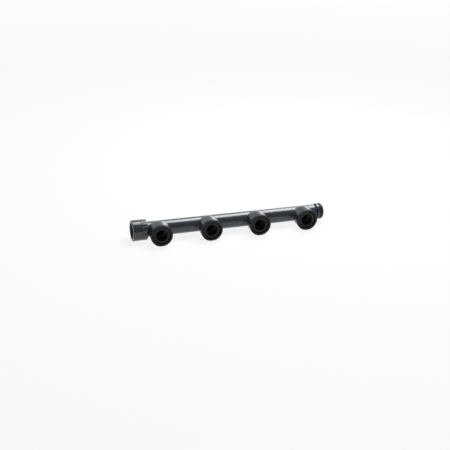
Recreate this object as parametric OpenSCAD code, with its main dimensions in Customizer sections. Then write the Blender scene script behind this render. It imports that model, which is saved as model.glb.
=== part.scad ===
// Rack coolant manifold: a header tube with four push-in ports, a female
// threaded inlet at one end and a male threaded outlet at the other.
// The header runs along +X from the inlet's mouth at the origin, the ports
// face -Y and +Z is up.

/* [Header tube] */
// Outside diameter of the header tube
tube_od = 30.5; // [28.5:0.5:34]
// Bore of the header tube
tube_bore = 24.5; // [20:0.5:25]

/* [Port hubs] */
// Distance between neighbouring ports
port_pitch = 102; // [80:1:130]
// Distance from the header's axis to the port faces
port_reach = 40; // [38:0.5:50]
// Outside diameter of a hub at its mouth
hub_od = 43; // [40:0.5:50]
// Length of the flare, counted from the header's axis
flare_len = 16; // [14:0.5:30]
// How far the flare's root lies inside the header's surface
flare_inset = 0.5; // [0.3:0.05:2]
// Chamfer on the outer edge of the mouth
lip_chamfer = 0.8; // [0.3:0.1:1.5]
// Diameter of the waterway from a port into the header
port_waterway = 18; // [12:0.5:19]

/* [Port fittings] */
// Outside diameter of the coolant tube that pushes into a port
branch_od = 22; // [20:0.5:25]
// Depth of the tube's seat between the seal and the stop
seat_depth = 5; // [2:0.5:5.5]
// Outside diameter of the bush
bush_od = 36.3; // [32:0.1:38]
// Length of the bush
bush_len = 9.5; // [6:0.5:10]
// Depth of the bush's front face behind the port's face
bush_setback = 2; // [1:0.25:2.5]
// Chamfers on the front edges of the bush
bush_chamfer = 1.2; // [0.5:0.1:1.8]
// Section diameter of the port's O-ring
seal_section = 3; // [2:0.1:3.4]
// How far a relaxed seal stands into the tube's path
seal_bite = 0.1; // [0.05:0.05:0.4]

/* [Inlet socket] */
// Diameter of the smooth band at the inlet's mouth
mouth_od = 41.7; // [40:0.1:46]
// Length of the smooth band
mouth_len = 16.5; // [12:0.5:20]
// Diameter over the ribs of the grip band
grip_od = 40.4; // [38.5:0.1:44]
// Length of the grip band
grip_len = 13; // [10:0.5:16]
// Number of ribs round the grip band
rib_count = 16; // [10:1:20]
// Radius of a rib's rounded crest
rib_round = 1.5; // [1.2:0.1:2]
// Height of a rib above the grip band
rib_height = 0.9; // [0.4:0.1:1.1]
// Length of the inlet's thread
inlet_thread_len = 14; // [11:0.5:15]
// Thickness of the inlet's sealing washer
washer_t = 2; // [1.5:0.1:3]
// Thickness of the stop between the washer and the header tube
stop_t = 2; // [1.5:0.1:3]

/* [Outlet end] */
// Length of bare tube between the last hub and the outlet end
outlet_stub = 12.3; // [8:0.1:30]
// Length of the smooth shoulder behind the outlet's thread
shoulder_len = 5; // [3:0.1:10]
// Length of the outlet's thread, chamfer included
outlet_thread_len = 8.9; // [6:0.1:16]
// Length of the lead-in chamfer at the outlet's tip
tip_chamfer_len = 3.5; // [1:0.1:5]
// Radial depth of that chamfer
tip_chamfer_depth = 2.1; // [0.8:0.1:3]

/* [Threads and fits] */
// Major diameter of the inlet's and the outlet's thread
thread_major = 33.25; // [31:0.05:34]
// Radial depth of those threads
thread_depth = 1.48; // [1:0.02:1.6]
// Chamfer at the inlet's mouth
mouth_chamfer = 1; // [0.4:0.1:1.6]
// Radial room between cemented pieces
cement_room = 0.1; // [0.05:0.01:0.2]
// Radial room between the bush and its pocket
bush_room = 0.1; // [0.05:0.01:0.2]
// Radial room round the tube that pushes into a port
branch_room = 0.2; // [0.1:0.05:0.4]
// Radial room round a seal in its groove
seal_room = 0.1; // [0.05:0.01:0.15]
// Room for a seal along its groove
groove_room = 0.5; // [0.2:0.1:1]
// Gap between the inlet socket's end and the first hub's side
hub_gap = 1; // [0.5:0.1:20]

/* [Hidden] */
$fn = 72;
// Overlap that lets a cutting shape pass clear through a face
cut = 1;
// Straight steps that draw the flare's curve
flare_steps = 6;

tube_r = tube_od / 2;
thread_minor_r = thread_major / 2 - thread_depth;

// Places along the header
stop_x = inlet_thread_len + washer_t;
tube_start = stop_x + stop_t;
inlet_len = mouth_len + grip_len;
first_port_x = inlet_len + hub_gap + hub_od / 2;
last_port_x = first_port_x + 3 * port_pitch;
tube_end = last_port_x + hub_od / 2 + outlet_stub;
thread_start = tube_end + shoulder_len;
outlet_tip = thread_start + outlet_thread_len;

// Distances of the port's steps from the header's axis
bush_front = port_reach - bush_setback;
bush_back = bush_front - bush_len;
seal_groove_back = bush_back - seal_section - groove_room;
branch_stop = seal_groove_back - seat_depth;

// Radii inside a port
pocket_r = bush_od / 2 + bush_room;
branch_r = branch_od / 2 + branch_room;
seal_inner_r = branch_od / 2 - seal_bite;
seal_groove_r = seal_inner_r + seal_section + seal_room;

// Turns a shape made along +Z to run along the header
module along_header() {
    rotate([0, 90, 0]) children();
}

// Turns a shape made along +Z to run out along port i
module at_port(i) {
    translate([first_port_x + (i - 1) * port_pitch, 0, 0])
        rotate([90, 0, 0]) children();
}

// Extruded tube with a hole for each port
module header_tube() {
    color("#333a41")
    difference() {
        translate([tube_start, 0, 0]) along_header()
            difference() {
                cylinder(h = tube_end - tube_start, r = tube_r);
                translate([0, 0, -cut])
                    cylinder(h = tube_end - tube_start + 2 * cut, d = tube_bore);
            }
        for (i = [1:4])
            at_port(i) cylinder(h = tube_od, d = port_waterway);
    }
}

// Radius of the hub's flare at a distance d from the header's axis: it leaves
// the header steeply and eases into the straight mouth along a sine
function flare_r(d) =
    let (root = tube_r - flare_inset)
    root + (hub_od / 2 - root) * sin(90 * d / flare_len);

// Outline of a hub in section: flare, straight mouth and the steps inside it
function hub_outline() = concat(
    [[port_waterway / 2, 0]],
    [for (k = [0:flare_steps])
        let (d = flare_len * k / flare_steps) [flare_r(d), d]],
    [
        [hub_od / 2, port_reach - lip_chamfer],
        [hub_od / 2 - lip_chamfer, port_reach],
        [pocket_r, port_reach],
        [pocket_r, bush_back],
        [seal_groove_r, bush_back],
        [seal_groove_r, seal_groove_back],
        [branch_r, seal_groove_back],
        [branch_r, branch_stop],
        [port_waterway / 2, branch_stop]
    ]);

// Flared hub, hollowed to a saddle that seats on the header tube
module port_hub(i) {
    color("#353c43")
    difference() {
        at_port(i) rotate_extrude() polygon(hub_outline());
        translate([tube_start, 0, 0]) along_header()
            cylinder(h = tube_end - tube_start, r = tube_r + cement_room);
    }
}

// Fixed bush that guides the pushed-in tube and holds the seal in place
module port_bush(i) {
    color("#2a2f34")
    at_port(i) rotate_extrude() polygon([
        [branch_r, bush_back],
        [bush_od / 2, bush_back],
        [bush_od / 2, bush_front - bush_chamfer],
        [bush_od / 2 - bush_chamfer, bush_front],
        [branch_r + bush_chamfer, bush_front],
        [branch_r, bush_front - bush_chamfer]
    ]);
}

// O-ring behind the bush
module port_seal(i) {
    color("#17181a")
    at_port(i)
        translate([0, 0, seal_groove_back + (seal_section + groove_room) / 2])
        rotate_extrude()
        translate([seal_inner_r + seal_section / 2, 0])
        circle(d = seal_section);
}

// Cross-section of the ribbed grip band
module grip_section() {
    core_r = grip_od / 2 - rib_height;
    circle(r = core_r);
    for (k = [0:rib_count - 1])
        rotate(k * 360 / rib_count)
            translate([grip_od / 2 - rib_round, 0]) circle(r = rib_round);
}

// Female end: the thread opens at the mouth, a relief groove behind it keeps
// the washer captive, and the header tube is cemented into the back
module inlet_socket() {
    color("#353c43")
    along_header() difference() {
        union() {
            rotate_extrude() polygon([
                [0, 0],
                [mouth_od / 2 - mouth_chamfer, 0],
                [mouth_od / 2, mouth_chamfer],
                [mouth_od / 2, mouth_len - mouth_chamfer],
                [mouth_od / 2 - mouth_chamfer, mouth_len],
                [0, mouth_len]
            ]);
            translate([0, 0, mouth_len - cut])
                linear_extrude(height = grip_len + cut) grip_section();
        }
        translate([0, 0, -cut])
            cylinder(h = inlet_thread_len + 2 * cut, r = thread_minor_r);
        translate([0, 0, inlet_thread_len])
            cylinder(h = washer_t, d = thread_major);
        translate([0, 0, -cut])
            cylinder(h = inlet_len + 2 * cut, d = tube_bore);
        translate([0, 0, tube_start])
            cylinder(h = inlet_len, r = tube_r + cement_room);
        rotate_extrude() polygon([
            [0, -cut],
            [thread_major / 2 + cut, -cut],
            [thread_minor_r, thread_major / 2 - thread_minor_r],
            [0, thread_major / 2 - thread_minor_r]
        ]);
    }
}

// Flat sealing washer, captive in the relief groove behind the inlet's thread
module inlet_seal() {
    color("#17181a")
    translate([inlet_thread_len, 0, 0]) along_header() difference() {
        cylinder(h = washer_t, r = thread_major / 2 - seal_room);
        translate([0, 0, -cut])
            cylinder(h = washer_t + 2 * cut, d = tube_bore);
    }
}

// Male end, welded face to face to the header tube
module outlet_end() {
    end_len = outlet_tip - tube_end;
    color("#353c43")
    translate([tube_end, 0, 0]) along_header() rotate_extrude() polygon([
        [tube_bore / 2, 0],
        [thread_major / 2, 0],
        [thread_major / 2, end_len - tip_chamfer_len],
        [thread_major / 2 - tip_chamfer_depth, end_len],
        [tube_bore / 2, end_len]
    ]);
}

header_tube();
port_hub(1);  // port_hub_1
port_hub(2);  // port_hub_2
port_hub(3);  // port_hub_3
port_hub(4);  // port_hub_4
port_bush(1);  // port_bush_1
port_bush(2);  // port_bush_2
port_bush(3);  // port_bush_3
port_bush(4);  // port_bush_4
port_seal(1);  // port_seal_1
port_seal(2);  // port_seal_2
port_seal(3);  // port_seal_3
port_seal(4);  // port_seal_4
inlet_socket();
inlet_seal();
outlet_end();
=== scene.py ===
import math

import bmesh
import bpy
import numpy as np
from mathutils import Matrix, Vector


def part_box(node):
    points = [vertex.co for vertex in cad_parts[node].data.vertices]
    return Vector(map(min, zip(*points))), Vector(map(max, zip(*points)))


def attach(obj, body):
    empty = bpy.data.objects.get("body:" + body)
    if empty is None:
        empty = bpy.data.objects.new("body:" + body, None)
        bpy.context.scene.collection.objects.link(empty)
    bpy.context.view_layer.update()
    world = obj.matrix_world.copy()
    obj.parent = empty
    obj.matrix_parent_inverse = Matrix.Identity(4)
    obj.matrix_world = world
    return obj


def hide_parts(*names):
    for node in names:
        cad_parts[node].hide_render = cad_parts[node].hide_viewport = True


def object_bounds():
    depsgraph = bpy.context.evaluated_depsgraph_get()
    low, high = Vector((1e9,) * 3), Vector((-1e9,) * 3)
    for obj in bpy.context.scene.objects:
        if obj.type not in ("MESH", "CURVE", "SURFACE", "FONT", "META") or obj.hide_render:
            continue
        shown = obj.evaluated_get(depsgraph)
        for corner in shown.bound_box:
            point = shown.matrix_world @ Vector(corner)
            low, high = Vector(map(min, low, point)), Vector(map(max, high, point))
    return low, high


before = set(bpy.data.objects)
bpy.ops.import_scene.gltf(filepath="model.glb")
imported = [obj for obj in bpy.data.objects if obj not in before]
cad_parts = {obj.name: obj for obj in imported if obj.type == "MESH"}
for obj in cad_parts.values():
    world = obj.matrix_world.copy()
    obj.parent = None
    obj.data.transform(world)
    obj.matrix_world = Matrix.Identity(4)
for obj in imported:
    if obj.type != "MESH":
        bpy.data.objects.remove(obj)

cad_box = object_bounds()

# ---------------------------------------------------------------------------
# Camera. It looks down on the row of ports from the inlet's end, aimed near
# the middle of the header.
# ---------------------------------------------------------------------------
camera_azimuth = math.radians(-18.56)
camera_elevation = math.radians(24.21)
camera_roll = math.radians(1.6)
camera_distance = 1.6867
camera_side = -0.01087
camera_lift = -0.00997

port_boxes = [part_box(f"port_hub_{i}") for i in (1, 2, 3, 4)]
port_xs = [(low.x + high.x) / 2 for low, high in port_boxes]
row_middle = Vector(((port_xs[0] + port_xs[3]) / 2, 0, 0))

back = Vector((
    math.sin(camera_azimuth) * math.cos(camera_elevation),
    -math.cos(camera_azimuth) * math.cos(camera_elevation),
    math.sin(camera_elevation),
))
level_right = Vector((math.cos(camera_azimuth), math.sin(camera_azimuth), 0))
level_up = back.cross(level_right)
right = level_right * math.cos(camera_roll) + level_up * math.sin(camera_roll)
up = level_up * math.cos(camera_roll) - level_right * math.sin(camera_roll)

camera_data = bpy.data.cameras.new("camera")
camera_data.lens = 66.2
camera = bpy.data.objects.new("camera", camera_data)
bpy.context.scene.collection.objects.link(camera)
camera_place = row_middle + back * camera_distance + level_right * camera_side + level_up * camera_lift
camera_axes = Matrix((right, up, back)).transposed().to_4x4()
camera.matrix_world = Matrix.Translation(camera_place) @ camera_axes
bpy.context.scene.camera = camera

# ---------------------------------------------------------------------------
# Header tube. A straight extruded tube of dark slate-grey plastic with a
# glossy skin and faint lines along its length from the die. A round hole is
# drilled into it behind each port.
# ---------------------------------------------------------------------------
MM = 0.001
BODY = "root"
tube_low, tube_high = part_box("header_tube")
tube_r = (tube_high.z - tube_low.z) / 2
tube_bore_r = 12.25 * MM
waterway_r = 9.0 * MM
# Each drilled hole lies in a patch that reaches this far along the tube
patch_half = 14.0 * MM
hoop_steps = 128
half_hoop_steps = hoop_steps // 2
hole_steps = hoop_steps + 32


def sheet_quads(points, first=0):
    """Quads of a sheet of (rows, columns, 3) points, with its points counted from the first number."""
    rows, cols = points.shape[:2]
    index = first + np.arange(rows * cols).reshape(rows, cols)
    quads = np.stack([index[:-1, :-1], index[:-1, 1:], index[1:, 1:], index[1:, :-1]], axis=-1)
    return quads.reshape(-1, 4)


def build(name, sheets, material, replaced):
    """One piece from several sheets of quads, each given as (rows, columns, 3) points.

    Points that coincide are merged, which closes the seams between sheets and the
    lines where a sheet meets itself, and the faces are then turned outwards.
    """
    mesh = bpy.data.meshes.new(name)
    verts, faces, first = [], [], 0
    for points in sheets:
        verts.append(points.reshape(-1, 3))
        faces.append(sheet_quads(points, first))
        first += len(verts[-1])
    mesh.from_pydata(np.concatenate(verts).tolist(), [], np.concatenate(faces).tolist())
    merged = bmesh.new()
    merged.from_mesh(mesh)
    bmesh.ops.remove_doubles(merged, verts=merged.verts, dist=0.002 * MM)
    bmesh.ops.dissolve_degenerate(merged, edges=merged.edges, dist=0.0005 * MM)
    bmesh.ops.recalc_face_normals(merged, faces=merged.faces)
    if merged.calc_volume(signed=True) < 0:
        bmesh.ops.reverse_faces(merged, faces=merged.faces)
    merged.to_mesh(mesh)
    merged.free()
    mesh.shade_smooth()
    mesh.materials.append(material)
    piece = bpy.data.objects.new(name, mesh)
    bpy.context.scene.collection.objects.link(piece)
    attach(piece, BODY)
    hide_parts(replaced)


def on_tube(along, around, radius):
    """Points round the header's axis: x is along, and the angle around is counted from the port side.

    The radius is one number for a cylinder, or varies along and around.
    """
    along, around = np.broadcast_arrays(along, around)
    return np.stack([along, -radius * np.cos(around), radius * np.sin(around)], axis=-1)


def plain_stretch(x_start, x_end, radius):
    """Cylinder wall between two places along the header."""
    around = np.linspace(-np.pi, np.pi, hoop_steps + 1)
    along = np.linspace(x_start, x_end, 5)
    return on_tube(along[:, None], around[None, :], radius)


def hole_ring(port_x, radius, share):
    """Edge of the drilled hole on a wall of that radius, unrolled to (x, angle).

    The turns round the hole are given as shares of a circle.
    """
    turn = 2 * np.pi * share
    return np.stack([
        port_x + waterway_r * np.cos(turn),
        np.arcsin(waterway_r * np.sin(turn) / radius),
    ], axis=-1)


def hole_shares():
    """Turns round a hole as shares of a circle, in step with the corners of its patch."""
    return -half_hoop_steps / 2 / hole_steps + np.arange(hole_steps + 1) / hole_steps


def frame_ring(port_x):
    """The rectangle that bounds a drilled patch, unrolled to (x, angle).

    Its corners are kept, and its sides are in step with the plain wall.
    """
    side, end = half_hoop_steps, hole_steps // 2 - half_hoop_steps
    rise = np.linspace(-np.pi / 2, np.pi / 2, side + 1)
    run = np.linspace(patch_half, -patch_half, end + 1)
    xs = np.concatenate([np.full(side, patch_half), run[:-1], np.full(side, -patch_half), -run])
    angles = np.concatenate([
        rise[:-1], np.full(end, np.pi / 2), -rise[:-1], np.full(end + 1, -np.pi / 2)])
    return np.stack([port_x + xs, angles], axis=-1)


def drilled_patch(port_x, radius):
    """Wall round one hole, by straight lines in the unrolled wall.

    They run from the hole's edge to the patch's rectangle, and the rows are a
    little closer together near the hole.
    """
    crowding = 1.2
    outer = frame_ring(port_x)
    inner = hole_ring(port_x, radius, hole_shares())
    blend = (np.linspace(0, 1, 19) ** crowding)[:, None, None]
    unrolled = inner[None] * (1 - blend) + outer[None] * blend
    return on_tube(unrolled[..., 0], unrolled[..., 1], radius)


def back_strip(port_x, radius):
    """Plain wall behind a drilled patch, on the side away from the port."""
    around = np.linspace(np.pi / 2, 3 * np.pi / 2, half_hoop_steps + 1)
    along = port_x + np.linspace(-patch_half, patch_half, 17)
    return on_tube(along[:, None], around[None, :], radius)


def header_sheets():
    """Outer and inner walls, the walls of the drilled holes and the two end rings."""
    sheets = []
    edges = [tube_low.x] + [x + s * patch_half for x in port_xs for s in (-1, 1)] + [tube_high.x]
    for radius in (tube_r, tube_bore_r):
        for x_start, x_end in zip(edges[0::2], edges[1::2]):
            sheets.append(plain_stretch(x_start, x_end, radius))
        for port_x in port_xs:
            sheets += [drilled_patch(port_x, radius), back_strip(port_x, radius)]
    depth = np.linspace(tube_bore_r, tube_r, 4)
    for port_x in port_xs:
        rings = [hole_ring(port_x, radius, hole_shares()) for radius in depth]
        sheets.append(np.stack([
            on_tube(ring[:, 0], ring[:, 1], radius) for ring, radius in zip(rings, depth)]))
    around = np.linspace(-np.pi, np.pi, hoop_steps + 1)
    for x_end in (tube_low.x, tube_high.x):
        sheets.append(np.stack([on_tube(x_end, around, radius) for radius in depth]))
    return sheets


def grain_group():
    """Node group for a plastic skin: cloudy colour, uneven gloss and a fine ripple of the surface."""
    group = bpy.data.node_groups.new("plastic_skin", "ShaderNodeTree")
    face = group.interface
    face.new_socket("Coordinates", in_out="INPUT", socket_type="NodeSocketVector")
    for socket in ("Cloud Scale", "Ripple Scale", "Roughness", "Spread"):
        face.new_socket(socket, in_out="INPUT", socket_type="NodeSocketFloat")
    for socket in ("Dark", "Light"):
        face.new_socket(socket, in_out="INPUT", socket_type="NodeSocketColor")
    face.new_socket("Colour", in_out="OUTPUT", socket_type="NodeSocketColor")
    face.new_socket("Roughness", in_out="OUTPUT", socket_type="NodeSocketFloat")
    face.new_socket("Height", in_out="OUTPUT", socket_type="NodeSocketFloat")
    node, link = group.nodes.new, group.links.new
    given, result = node("NodeGroupInput"), node("NodeGroupOutput")
    cloud, ripple, speck = (node("ShaderNodeTexNoise") for _ in range(3))
    cloud.inputs["Detail"].default_value = 4
    ripple.inputs["Detail"].default_value = 2
    speck.inputs["Detail"].default_value = 1
    speck.inputs["Scale"].default_value = 2600
    for texture in (cloud, ripple, speck):
        link(given.outputs["Coordinates"], texture.inputs["Vector"])
    link(given.outputs["Cloud Scale"], cloud.inputs["Scale"])
    link(given.outputs["Ripple Scale"], ripple.inputs["Scale"])
    mix = node("ShaderNodeMix")
    mix.data_type = "RGBA"
    link(cloud.outputs["Fac"], mix.inputs["Factor"])
    link(given.outputs["Dark"], mix.inputs["A"])
    link(given.outputs["Light"], mix.inputs["B"])
    link(mix.outputs["Result"], result.inputs["Colour"])
    centred = node("ShaderNodeMath")
    centred.operation = "SUBTRACT"
    centred.inputs[1].default_value = 0.5
    link(cloud.outputs["Fac"], centred.inputs[0])
    uneven = node("ShaderNodeMath")
    uneven.operation = "MULTIPLY_ADD"
    link(centred.outputs[0], uneven.inputs[0])
    link(given.outputs["Spread"], uneven.inputs[1])
    link(given.outputs["Roughness"], uneven.inputs[2])
    link(uneven.outputs[0], result.inputs["Roughness"])
    height = node("ShaderNodeMath")
    height.operation = "MULTIPLY_ADD"
    height.inputs[1].default_value = 0.3
    link(speck.outputs["Fac"], height.inputs[0])
    link(ripple.outputs["Fac"], height.inputs[2])
    link(height.outputs[0], result.inputs["Height"])
    return group


plastic_skin = grain_group()


def plastic(name, dark, light, roughness, spread, cloud, ripple, bump, specular, stretch=(1, 1, 1)):
    """Pigmented plastic: the shared skin group feeds colour, roughness and bump of one Principled shader."""
    material = bpy.data.materials.new(name)
    material.use_nodes = True
    nodes, links = material.node_tree.nodes, material.node_tree.links
    shader = nodes["Principled BSDF"]
    place = nodes.new("ShaderNodeTexCoord")
    mapping = nodes.new("ShaderNodeMapping")
    mapping.inputs["Scale"].default_value = stretch
    skin = nodes.new("ShaderNodeGroup")
    skin.node_tree = plastic_skin
    skin.inputs["Cloud Scale"].default_value = cloud
    skin.inputs["Ripple Scale"].default_value = ripple
    skin.inputs["Roughness"].default_value = roughness
    skin.inputs["Spread"].default_value = spread
    skin.inputs["Dark"].default_value = (*dark, 1)
    skin.inputs["Light"].default_value = (*light, 1)
    bumps = nodes.new("ShaderNodeBump")
    bumps.inputs["Strength"].default_value = bump
    bumps.inputs["Distance"].default_value = 0.2 * MM
    links.new(place.outputs["Object"], mapping.inputs["Vector"])
    links.new(mapping.outputs["Vector"], skin.inputs["Coordinates"])
    links.new(skin.outputs["Colour"], shader.inputs["Base Color"])
    links.new(skin.outputs["Roughness"], shader.inputs["Roughness"])
    links.new(skin.outputs["Height"], bumps.inputs["Height"])
    links.new(bumps.outputs["Normal"], shader.inputs["Normal"])
    shader.inputs["Specular IOR Level"].default_value = specular
    return material


tube_material = plastic(
    "extruded_slate", dark=(0.022, 0.031, 0.040), light=(0.029, 0.039, 0.049),
    roughness=0.24, spread=0.05, cloud=60.0, ripple=900.0, bump=0.015, specular=0.7, stretch=(0.06, 1, 1))
build("header_tube_skin", header_sheets(), tube_material, "header_tube")

# ---------------------------------------------------------------------------
# Port hubs. Each is a flared plastic moulding shaped to a saddle, welded to the
# tube over its drilled hole, with a smooth root. A slightly proud, dull band rings
# its mouth, which is stepped for the bush, the seal and the pushed-in tube.
# ---------------------------------------------------------------------------
hub_r = (port_boxes[0][1].x - port_boxes[0][0].x) / 2
hub_face = -port_boxes[0][0].y
flare_end = 16.0 * MM
flare_root_r = tube_r - 0.5 * MM
root_blend = 1.8 * MM
band_start = 33.7 * MM
band_r = hub_r + 0.5 * MM
lip_r = 17.6 * MM
lip_depth = 2.0 * MM
pocket_r = 18.25 * MM
bush_seat = 28.5 * MM
groove_r = 14.0 * MM
groove_floor = 25.0 * MM
branch_r = 11.2 * MM
branch_stop = 20.0 * MM
# How far the toe of the root and the saddle lie inside the tube's surface
tuck = 0.02 * MM
edge_round = 0.3 * MM
port_turn = np.linspace(0, 2 * np.pi, 161)


def rounded(corners, steps=6):
    """Outline through (radius, depth, round) corners, each sharp corner replaced by an arc of its own size.

    The arc is a quadratic curve from a tangent point before the corner to one
    after it, and a point just past each end keeps the flats flat when shaded.
    """
    past_arc = 1.25
    corners = np.array(corners, float)
    points = [corners[:1, :2]]
    for before, corner, after in zip(corners[:-2], corners[1:-1], corners[2:]):
        p, r = corner[:2], corner[2]
        if r == 0:
            points.append(p[None])
            continue
        into, out = before[:2] - p, after[:2] - p
        reach_in, reach_out = np.linalg.norm(into), np.linalg.norm(out)
        t = np.linspace(0, 1, steps)[:, None]
        a, b = p + into / reach_in * r, p + out / reach_out * r
        arc = (1 - t) ** 2 * a + 2 * t * (1 - t) * p + t ** 2 * b
        lead_in = p + into / reach_in * min(past_arc * r, (r + reach_in) / 2)
        lead_out = p + out / reach_out * min(past_arc * r, (r + reach_out) / 2)
        points += [lead_in[None], arc, lead_out[None]]
    points.append(corners[-1:, :2])
    return np.concatenate(points)


def out_of_port(radius, depth, turn, port_x):
    """Points round a port's axis: depth counts from the header's axis towards the port's face."""
    radius, depth, turn = np.broadcast_arrays(radius, depth, turn)
    return np.stack([port_x + radius * np.cos(turn), -depth, radius * np.sin(turn)], axis=-1)


def flare(depth):
    """Hub radius at a depth: it eases along a quarter sine from the root to the straight mouth."""
    share = np.clip(depth / flare_end, 0, 1)
    return flare_root_r + (hub_r - flare_root_r) * np.sin(np.pi / 2 * share)


def saddle_depth(turn):
    """Depth at which the flare leaves the tube's surface, by halving the interval at every turn at once."""
    low, high = np.zeros_like(turn), np.full_like(turn, tube_r)
    for _ in range(40):
        middle = (low + high) / 2
        outside = middle ** 2 + (flare(middle) * np.sin(turn)) ** 2 > tube_r ** 2
        high, low = np.where(outside, middle, high), np.where(outside, low, middle)
    return (low + high) / 2


def hub_sheet(port_x):
    """The hub as one sheet that closes on itself both ways: root, flare, band, inside steps and saddle."""
    turn = port_turn
    seam = saddle_depth(turn)
    seam_r = flare(seam)
    # seam in the unrolled tube wall, and its outward direction there
    flat = np.stack([seam_r * np.cos(turn), tube_r * np.arctan2(seam_r * np.sin(turn), seam)], axis=-1)
    run = np.roll(flat[:-1], -1, axis=0) - np.roll(flat[:-1], 1, axis=0)
    run = np.concatenate([run, run[:1]])
    outward = np.stack([run[:, 1], -run[:, 0]], axis=-1) / np.linalg.norm(run, axis=1)[:, None]
    toe = flat + root_blend * outward
    toe_points = on_tube(port_x + toe[:, 0], toe[:, 1] / tube_r, tube_r - tuck)
    seam_points = out_of_port(seam_r, seam, turn, port_x)
    lift_depth = seam + root_blend
    lift_points = out_of_port(flare(lift_depth), lift_depth, turn, port_x)
    t = np.linspace(0, 1, 9)[:, None, None]
    root = (1 - t) ** 2 * toe_points + 2 * t * (1 - t) * seam_points + t ** 2 * lift_points
    # flare and straight body up to the band
    s = np.linspace(0, 1, 18)[1:, None]
    body_end = band_start - 0.6 * MM
    depth = lift_depth + (body_end - lift_depth) * s
    skirt = out_of_port(flare(depth), depth, turn, port_x)
    # band, lip and the steps inside, the same all round
    inside = rounded([
        (hub_r, band_start - 0.5 * MM, 0), (hub_r, band_start, 0.08 * MM), (band_r, band_start, 0.15 * MM),
        (band_r, hub_face, 0.6 * MM), (lip_r, hub_face, 0.4 * MM), (lip_r, hub_face - lip_depth, 0.1 * MM),
        (pocket_r, hub_face - lip_depth, 0.1 * MM), (pocket_r, bush_seat, edge_round),
        (groove_r, bush_seat, edge_round), (groove_r, groove_floor, edge_round),
        (branch_r, groove_floor, edge_round), (branch_r, branch_stop, edge_round),
        (waterway_r, branch_stop, edge_round), (waterway_r, branch_stop - 1 * MM, 0)])
    steps = out_of_port(inside[:, :1], inside[:, 1:], turn, port_x)
    # waterway down to the tube's hole, then the saddle's underside back to the toe
    hole = np.stack([
        waterway_r * np.cos(turn),
        tube_r * np.arcsin(waterway_r * np.sin(turn) / tube_r),
    ], axis=-1)
    u = np.linspace(0, 1, 6)[:, None, None]
    under = hole * (1 - u) + toe * u
    saddle = on_tube(port_x + under[..., 0], under[..., 1] / tube_r, tube_r - tuck)
    return np.concatenate([root, skirt, steps, saddle])


hub_material = plastic(
    "moulded_slate", dark=(0.022, 0.030, 0.038), light=(0.029, 0.038, 0.047),
    roughness=0.2, spread=0.06, cloud=90.0, ripple=1100.0, bump=0.06, specular=0.6)


def dull_in_front(material, depth, dark, light, roughness, specular):
    """Past that depth towards the port's face, the plastic turns to a darker, duller skin.

    It starts over a short run, by the distance out along -Y.
    """
    start_run = 0.3 * MM
    nodes, links = material.node_tree.nodes, material.node_tree.links
    shader = nodes["Principled BSDF"]
    skin = shader.inputs["Base Color"].links[0].from_node
    place = nodes.new("ShaderNodeTexCoord")
    split = nodes.new("ShaderNodeSeparateXYZ")
    band = nodes.new("ShaderNodeMapRange")
    band.inputs["From Min"].default_value = -depth
    band.inputs["From Max"].default_value = -depth - start_run
    speckle = nodes.new("ShaderNodeTexNoise")
    speckle.inputs["Scale"].default_value = 700
    band_colour = nodes.new("ShaderNodeMix")
    band_colour.data_type = "RGBA"
    band_colour.inputs["A"].default_value = (*dark, 1)
    band_colour.inputs["B"].default_value = (*light, 1)
    colour = nodes.new("ShaderNodeMix")
    colour.data_type = "RGBA"
    dullness, sheen = nodes.new("ShaderNodeMix"), nodes.new("ShaderNodeMix")
    dullness.inputs["B"].default_value = roughness
    sheen.inputs["A"].default_value = shader.inputs["Specular IOR Level"].default_value
    sheen.inputs["B"].default_value = specular
    links.new(place.outputs["Object"], split.inputs["Vector"])
    links.new(place.outputs["Object"], speckle.inputs["Vector"])
    links.new(split.outputs["Y"], band.inputs["Value"])
    links.new(speckle.outputs["Fac"], band_colour.inputs["Factor"])
    for mix in (colour, dullness, sheen):
        links.new(band.outputs["Result"], mix.inputs["Factor"])
    links.new(skin.outputs["Colour"], colour.inputs["A"])
    links.new(band_colour.outputs["Result"], colour.inputs["B"])
    links.new(skin.outputs["Roughness"], dullness.inputs["A"])
    links.new(colour.outputs["Result"], shader.inputs["Base Color"])
    links.new(dullness.outputs["Result"], shader.inputs["Roughness"])
    links.new(sheen.outputs["Result"], shader.inputs["Specular IOR Level"])


dull_in_front(hub_material, band_start, dark=(0.011, 0.013, 0.015), light=(0.015, 0.017, 0.019),
              roughness=0.48, specular=0.22)
for number, port_x in enumerate(port_xs, start=1):
    build(f"port_hub_{number}_skin", [hub_sheet(port_x)],
          hub_material, f"port_hub_{number}")

# ---------------------------------------------------------------------------
# Port seals. A moulded rubber O-ring lies in the groove behind each bush and
# grips the pushed-in tube.
# ---------------------------------------------------------------------------


def ring_sheet(port_x, middle_r, section_r, depth):
    """A torus: a small circle carried round the port's axis."""
    turn = np.linspace(0, 2 * np.pi, 97)[None, :]
    round_section = np.linspace(0, 2 * np.pi, 25)[:, None]
    radius = middle_r + section_r * np.cos(round_section)
    return out_of_port(radius, depth + section_r * np.sin(round_section), turn, port_x)


def rubber(name, dark, light):
    """Matt black rubber with a dusty bloom: the skin group with a high roughness."""
    return plastic(
        name, dark, light, roughness=0.6, spread=0.2, cloud=300.0, ripple=1500.0, bump=0.15, specular=0.4)


seal_material = rubber("seal_rubber", dark=(0.008, 0.008, 0.009), light=(0.014, 0.014, 0.015))
for number, port_x in enumerate(port_xs, start=1):
    low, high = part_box(f"port_seal_{number}")
    section_r = (high.y - low.y) / 2
    sheet = ring_sheet(port_x, (high.x - low.x) / 2 - section_r, section_r, -(low.y + high.y) / 2)
    build(f"port_seal_{number}_ring", [sheet], seal_material, f"port_seal_{number}")

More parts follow.
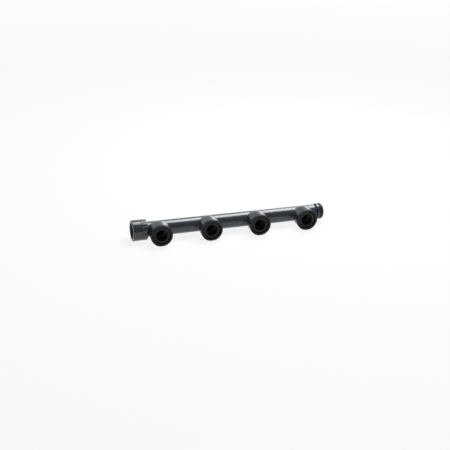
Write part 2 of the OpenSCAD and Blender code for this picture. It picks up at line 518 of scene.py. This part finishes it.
# ---------------------------------------------------------------------------
# Port bushes. A satin moulded ring fixed in each mouth a little behind the
# lip. It guides the pushed-in tube and keeps the seal in its groove.
# ---------------------------------------------------------------------------
inner_chamfer = 1.2 * MM
outer_chamfer = 1.9 * MM
bush_material = plastic(
    "moulded_charcoal", dark=(0.014, 0.016, 0.018), light=(0.019, 0.021, 0.023),
    roughness=0.42, spread=0.1, cloud=140.0, ripple=1300.0, bump=0.10, specular=0.2)
for number, port_x in enumerate(port_xs, start=1):
    low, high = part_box(f"port_bush_{number}")
    bush_r, front, rear = (high.x - low.x) / 2, -low.y, -high.y
    middle = (front + rear) / 2
    outline = rounded([
        (branch_r, middle, 0),
        (branch_r, front - inner_chamfer, edge_round), (branch_r + inner_chamfer, front, edge_round),
        (bush_r - outer_chamfer, front, edge_round), (bush_r - 0.3 * MM, front - 2.2 * MM, edge_round),
        (bush_r, front - 2.6 * MM, 0.2 * MM),
        (bush_r, rear, edge_round), (branch_r, rear, edge_round), (branch_r, middle, 0)])
    ring = out_of_port(outline[:, :1], outline[:, 1:], port_turn, port_x)
    build(f"port_bush_{number}_ring", [ring], bush_material, f"port_bush_{number}")

# ---------------------------------------------------------------------------
# Inlet socket. A moulded female end with a smooth band at its mouth, a grip
# band of broad ribs behind it and a parallel pipe thread inside. The header tube
# is cemented into its back.
# ---------------------------------------------------------------------------
socket_low, socket_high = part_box("inlet_socket")
mouth_r = (socket_high.z - socket_low.z) / 2
socket_len = socket_high.x - socket_low.x
mouth_len = 16.5 * MM
band_gap = 1.2 * MM
mouth_chamfer = 0.6 * MM
grip_r = 20.5 * MM
rib_height = 0.9 * MM
grip_core_r = grip_r - rib_height
groove_round = 1.4 * MM
rib_count = 16
top_rib = math.radians(75)
thread_pitch = 2.309 * MM
thread_major_r = 16.625 * MM
thread_minor_r = 15.145 * MM
lead_in_r = thread_major_r + 0.8 * MM
inlet_thread_len = 14.0 * MM
washer_end = 16.0 * MM
stop_end = 18.0 * MM
cement_r = tube_r + 0.1 * MM


def softened(a, b, width):
    """The larger of two values, with the crease between them rounded over that width."""
    gap = np.clip(width - np.abs(a - b), 0, None) / width
    return np.maximum(a, b) + gap ** 2 * width / 4


def ribbed(turn):
    """Radius round the grip band: a circle with a small circle cut into it half-way between each two ribs."""
    swing = (turn - top_rib) / (2 * np.pi) * rib_count % 1 - 0.5
    angle = swing * 2 * np.pi / rib_count
    centre = grip_core_r + groove_round
    inside = np.clip(groove_round ** 2 - (centre * np.sin(angle)) ** 2, 0, None)
    groove = np.where(inside > 0, centre * np.cos(angle) - np.sqrt(inside), 2 * grip_r)
    return -softened(-groove, -grip_r, 0.3 * MM)


def helix_wave(along, turn):
    """Rounded pipe thread form between 0 and 1, which repeats once in each pitch and winds right-handed."""
    return 0.5 - 0.5 * np.cos(2 * np.pi * (along / thread_pitch + turn / (2 * np.pi)))


def along_header(outline, turn):
    """An outline of (radius, place along the header) carried round the header's axis."""
    return on_tube(outline[:, 1:], turn, outline[:, :1])


def inlet_sheet():
    """The socket as one sheet: from the mouth over the bands, round the back and out through the bore."""
    turn = np.linspace(-np.pi, np.pi, 16 * 24 + 1)[None, :]
    grip_start, grip_end = mouth_len + band_gap, socket_len - 0.2 * MM
    # smooth band, from the chamfered rim to the gap before the grip band
    band = rounded([
        (lead_in_r, 0, 0), (mouth_r - mouth_chamfer, 0, 0.3 * MM), (mouth_r, mouth_chamfer, 0.4 * MM),
        (mouth_r, mouth_len, 0.4 * MM), (grip_core_r, mouth_len, 0.2 * MM),
        (grip_core_r, grip_start - 0.3 * MM, 0)])
    outside = along_header(band, turn)
    # grip band: the ribs rise and fall over a short run at each end
    end_run = 0.4 * MM
    share = 0.5 - 0.5 * np.cos(np.pi * np.linspace(0, 1, 28))
    along = grip_start + (grip_end - grip_start) * share[:, None]
    end_gap = np.minimum(along - grip_start, grip_end - along)
    ease = np.sqrt(np.clip(1 - (1 - np.clip(end_gap / end_run, 0, 1)) ** 2, 0, 1))
    grip = on_tube(along, turn, grip_core_r + (ribbed(turn) - grip_core_r) * ease)
    # back face, cement joint, stop and washer groove
    bore = rounded([
        (grip_core_r, grip_end, 0), (grip_core_r - 0.3 * MM, socket_len, 0.1 * MM),
        (cement_r, socket_len, 0.3 * MM), (cement_r, stop_end, 0.1 * MM),
        (tube_bore_r, stop_end, 0.1 * MM), (tube_bore_r, washer_end, 0.1 * MM),
        (thread_major_r, washer_end, 0.2 * MM), (thread_major_r, inlet_thread_len + 0.1 * MM, 0)])
    # thread, opened by the lead-in chamfer at the mouth
    along = inlet_thread_len * np.linspace(1, 0, 90)[:, None]
    form = thread_minor_r + (thread_major_r - thread_minor_r) * helix_wave(along, turn)
    thread = on_tube(along, turn, softened(form, lead_in_r - along, 0.2 * MM))
    return np.concatenate([outside, grip, along_header(bore, turn), thread, outside[:1]])


socket_material = plastic(
    "socket_slate", dark=(0.022, 0.030, 0.038), light=(0.029, 0.038, 0.047),
    roughness=0.2, spread=0.08, cloud=80.0, ripple=1000.0, bump=0.07, specular=0.7)
build("inlet_socket_skin", [inlet_sheet()], socket_material, "inlet_socket")

# ---------------------------------------------------------------------------
# Inlet washer. A flat rubber ring, captive in the groove behind the inlet's
# thread, that the mating pipe's end is screwed down on.
# ---------------------------------------------------------------------------
washer_low, washer_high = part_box("inlet_seal")
washer_r = (washer_high.z - washer_low.z) / 2
washer_middle = (washer_low.x + washer_high.x) / 2
washer_outline = rounded([
    (tube_bore_r, washer_middle, 0), (tube_bore_r, washer_low.x, edge_round),
    (washer_r, washer_low.x, edge_round), (washer_r, washer_high.x, edge_round),
    (tube_bore_r, washer_high.x, edge_round), (tube_bore_r, washer_middle, 0)])
build("inlet_seal_ring", [along_header(washer_outline, np.linspace(-np.pi, np.pi, 129)[None, :])],
      seal_material, "inlet_seal")

# ---------------------------------------------------------------------------
# Outlet end. A moulded male end, welded face to face to the tube: a smooth
# shoulder, then a parallel pipe thread with a long lead-in at its tip.
# ---------------------------------------------------------------------------
outlet_low, outlet_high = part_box("outlet_end")
outlet_r = (outlet_high.z - outlet_low.z) / 2
shoulder_len = 5.0 * MM
tip_chamfer_len = 3.5 * MM
tip_chamfer_depth = 2.1 * MM


def outlet_sheet():
    """Bore, butt face, shoulder, thread under the lead-in cone and tip face, closed on itself."""
    turn = np.linspace(-np.pi, np.pi, 193)[None, :]
    start, tip = outlet_low.x, outlet_high.x
    shoulder_end = start + shoulder_len
    thread_len = tip - start - shoulder_len
    bore_middle = tip - 1 * MM
    shoulder = rounded([
        (tube_bore_r, bore_middle, 0), (tube_bore_r, start, 0.1 * MM), (outlet_r, start, 0.5 * MM),
        (outlet_r, shoulder_end, 0.4 * MM), (thread_minor_r + 0.6 * MM, shoulder_end + 0.3 * MM, 0)])[:-1]
    along = shoulder_end + 0.4 * MM + (thread_len - 0.7 * MM) * np.linspace(0, 1, 60)[:, None]
    form = thread_minor_r + (thread_major_r - thread_minor_r) * (1 - helix_wave(along, turn))
    cone = outlet_r - tip_chamfer_depth * (along - tip + tip_chamfer_len) / tip_chamfer_len
    thread = on_tube(along, turn, -softened(-form, -cone, 0.25 * MM))
    tip_r = outlet_r - tip_chamfer_depth
    face = rounded([
        (tip_r, tip - 0.2 * MM, 0), (tip_r - 0.2 * MM, tip, 0.15 * MM),
        (tube_bore_r, tip, 0.3 * MM), (tube_bore_r, bore_middle, 0)])[1:]
    return np.concatenate([along_header(shoulder, turn), thread, along_header(face, turn)])


build("outlet_end_skin", [outlet_sheet()], hub_material, "outlet_end")

# ---------------------------------------------------------------------------
# Studio. A white floor, a round white backdrop, one softbox overhead and a
# little towards the back, a weaker one low behind, and a soft fill all round.
# ---------------------------------------------------------------------------
floor_z = cad_box[0].z
wall_r = 8.0
wall_height = 5.2


def white_ground(name, lit_share):
    """White to the camera and in reflections, and plain white to soft light.

    The lamps' light and the object's shadow show in the lit share. The glow makes
    up the rest, and a little less of it is needed near the object, where the
    lamps are bright.
    """
    near, far = 0.2, 3.0
    near_glow, far_glow = 0.98 - 1.15 * lit_share, 0.97 - 0.3 * lit_share
    material = bpy.data.materials.new(name)
    material.use_nodes = True
    nodes, links = material.node_tree.nodes, material.node_tree.links
    nodes.clear()
    path = nodes.new("ShaderNodeLightPath")
    seen = nodes.new("ShaderNodeMath")
    seen.use_clamp = True
    seen_too = nodes.new("ShaderNodeMath")
    seen_too.use_clamp = True
    links.new(path.outputs["Is Camera Ray"], seen.inputs[0])
    links.new(path.outputs["Is Glossy Ray"], seen.inputs[1])
    links.new(seen.outputs[0], seen_too.inputs[0])
    links.new(path.outputs["Is Transmission Ray"], seen_too.inputs[1])
    soft = nodes.new("ShaderNodeBsdfDiffuse")
    soft.inputs["Color"].default_value = (0.8, 0.8, 0.8, 1)
    lit = nodes.new("ShaderNodeBsdfDiffuse")
    lit.inputs["Color"].default_value = (lit_share, lit_share, lit_share, 1)
    glow = nodes.new("ShaderNodeEmission")
    place = nodes.new("ShaderNodeTexCoord")
    reach = nodes.new("ShaderNodeVectorMath")
    reach.operation = "LENGTH"
    fade = nodes.new("ShaderNodeMapRange")
    fade.interpolation_type = "SMOOTHSTEP"
    fade.inputs["From Min"].default_value = near
    fade.inputs["From Max"].default_value = far
    fade.inputs["To Min"].default_value = near_glow
    fade.inputs["To Max"].default_value = far_glow
    links.new(place.outputs["Object"], reach.inputs[0])
    links.new(reach.outputs["Value"], fade.inputs["Value"])
    links.new(fade.outputs["Result"], glow.inputs["Strength"])
    both = nodes.new("ShaderNodeAddShader")
    links.new(lit.outputs[0], both.inputs[0])
    links.new(glow.outputs[0], both.inputs[1])
    choose = nodes.new("ShaderNodeMixShader")
    links.new(seen_too.outputs[0], choose.inputs["Fac"])
    links.new(soft.outputs[0], choose.inputs[1])
    links.new(both.outputs[0], choose.inputs[2])
    out = nodes.new("ShaderNodeOutputMaterial")
    links.new(choose.outputs[0], out.inputs["Surface"])
    return material


def stage_sheet(name, points, material):
    """A floor or wall that isn't part of the object."""
    mesh = bpy.data.meshes.new(name)
    mesh.from_pydata(points.reshape(-1, 3).tolist(), [], sheet_quads(points).tolist())
    mesh.materials.append(material)
    piece = bpy.data.objects.new(name, mesh)
    bpy.context.scene.collection.objects.link(piece)


def upright(reach, turn, height):
    """Points at a reach and turn round the row's middle, at that height."""
    reach, turn, height = np.broadcast_arrays(reach, turn, height)
    return np.stack([row_middle.x + reach * np.cos(turn), reach * np.sin(turn), height], axis=-1)


white = white_ground("studio_white", lit_share=0.1)
reaches = np.array([0.001, 0.5, 1, 2, 4, wall_r])[:, None]
hoop = np.linspace(0, 2 * np.pi, 97)[None, :]
stage_sheet("floor", upright(reaches, hoop, floor_z), white)
heights = floor_z + np.array([0, wall_height])[:, None]
half_hoop = np.linspace(-0.1 * np.pi, 1.1 * np.pi, 61)[None, :]
stage_sheet("backdrop", upright(wall_r, half_hoop, heights), white)


def softbox(name, direction, distance, width, depth, radiance):
    """Rectangular lamp facing the middle of the row, its power worked out from the brightness of its face."""
    data = bpy.data.lights.new(name, "AREA")
    data.shape = "RECTANGLE"
    data.size, data.size_y = width, depth
    data.energy = radiance * math.pi * width * depth
    lamp = bpy.data.objects.new(name, data)
    bpy.context.scene.collection.objects.link(lamp)
    lamp.visible_camera = False
    away = Vector(direction).normalized()
    across = Vector((0, 1, 0)).cross(away).normalized()
    lamp_axes = Matrix((across, away.cross(across), away)).transposed().to_4x4()
    lamp.matrix_world = Matrix.Translation(row_middle + away * distance) @ lamp_axes


softbox("overhead_softbox", direction=(0.33, 0.30, 0.89), distance=1.1,
        width=0.75, depth=0.8, radiance=10.0)
softbox("rear_softbox", direction=(0.477, 0.861, 0.174), distance=4.0,
        width=0.85, depth=1.4, radiance=3.0)

world = bpy.data.worlds.new("studio")
bpy.context.scene.world = world
world.use_nodes = True
world.node_tree.nodes["Background"].inputs["Color"].default_value = (0.21, 0.22, 0.23, 1)
world.node_tree.nodes["Background"].inputs["Strength"].default_value = 1.0

bpy.context.scene.view_settings.view_transform = "Standard"
